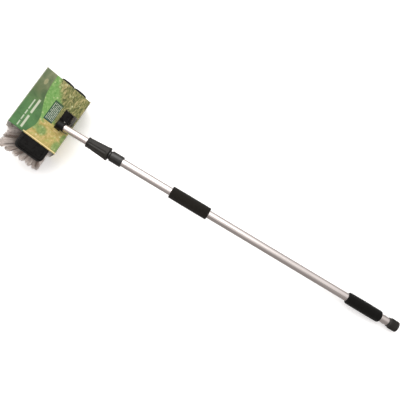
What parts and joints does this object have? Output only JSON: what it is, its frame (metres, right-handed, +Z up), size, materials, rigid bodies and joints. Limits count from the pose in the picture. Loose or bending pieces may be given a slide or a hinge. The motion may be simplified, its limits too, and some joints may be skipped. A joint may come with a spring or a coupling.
{
  "type": "telescopic wash brush",
  "caption": "Telescopic twist-lock pole with foam grips and a hose coupling, carrying a wide water-fed brush head with flared soft bristles in a printed card sleeve.",
  "frame": {"origin": "centre of the bounding box's base, on the surface that the brush lies on", "axes": "+X along the pole from the brush head to the hose coupling, +Z up, +Y across the pole along the brush head"},
  "size_m": [1.3398, 0.292, 0.1706],
  "materials": {
    "tube_aluminium": "satin",
    "grip_foam": "matte",
    "ferrule_plastic": "gloss",
    "lock_plastic": "satin",
    "inner_plastic": "satin",
    "seal_rubber": "matte",
    "coupling_plastic": "satin",
    "screw_steel": "satin",
    "block_plastic": "satin",
    "bumper_rubber": "satin",
    "bristle_fibre": "satin",
    "printed_card": "satin"
  },
  "bodies": {
    "lower_pole": {"outer_tube": "tube_aluminium", "lock_ferrule": "ferrule_plastic", "grip_middle": "grip_foam", "grip_end": "grip_foam", "hose_adaptor": "coupling_plastic", "adaptor_pin_1": "screw_steel", "adaptor_pin_2": "screw_steel", "hose_washer": "seal_rubber"},
    "hose_coupling": {"hose_nut": "coupling_plastic"},
    "lock_carriage": {"lock_collet": "inner_plastic", "lock_seal": "seal_rubber"},
    "lock_collar": {"lock_nut": "lock_plastic"},
    "pole_guide": {"guide_bush": "inner_plastic", "guide_seal": "seal_rubber"},
    "upper_pole": {"inner_tube": "tube_aluminium", "head_socket": "block_plastic", "socket_gasket": "seal_rubber", "tube_screw": "screw_steel", "socket_screw_1": "screw_steel", "socket_screw_2": "screw_steel", "socket_screw_3": "screw_steel", "socket_screw_4": "screw_steel", "head_cover": "block_plastic", "head_gasket": "seal_rubber", "head_base": "block_plastic", "head_bumper": "bumper_rubber", "cover_screw_1": "screw_steel", "cover_screw_2": "screw_steel", "cover_screw_3": "screw_steel", "cover_screw_4": "screw_steel", "cover_screw_5": "screw_steel", "cover_screw_6": "screw_steel", "bristle_row_1": "bristle_fibre", "bristle_row_2": "bristle_fibre", "bristle_row_3": "bristle_fibre", "bristle_row_4": "bristle_fibre", "bristle_row_5": "bristle_fibre", "bristle_row_6": "bristle_fibre", "card_sleeve": "printed_card"}
  },
  "joints": [
    {"name": "hose_nut_turn", "type": "hinge", "parent": "lower_pole", "child": "hose_coupling", "pos_m": [0.65572, 0, 0.01774], "axis": [0.9969, 0, -0.0782], "continuous": true},
    {"name": "lock_travel", "type": "slide", "parent": "lower_pole", "child": "lock_carriage", "axis": [-0.9969, 0, 0.0782], "range_m": [0, 0.002]},
    {"name": "lock_turn", "type": "hinge", "parent": "lock_carriage", "child": "lock_collar", "pos_m": [-0.38906, 0, 0.09974], "axis": [-0.9969, 0, 0.0782], "range_deg": [0, 181]},
    {"name": "pole_extend", "type": "slide", "parent": "lower_pole", "child": "pole_guide", "axis": [-0.9969, 0, 0.0782], "range_m": [-0.04, 0.8]},
    {"name": "head_twist", "type": "hinge", "parent": "pole_guide", "child": "upper_pole", "pos_m": [-0.5087, 0, 0.10913], "axis": [-0.9969, 0, 0.0782], "continuous": true}
  ],
  "couplings": [
    {"joint": "lock_turn", "follows": "lock_travel", "rad_per_m": 1570.8}
  ]
}
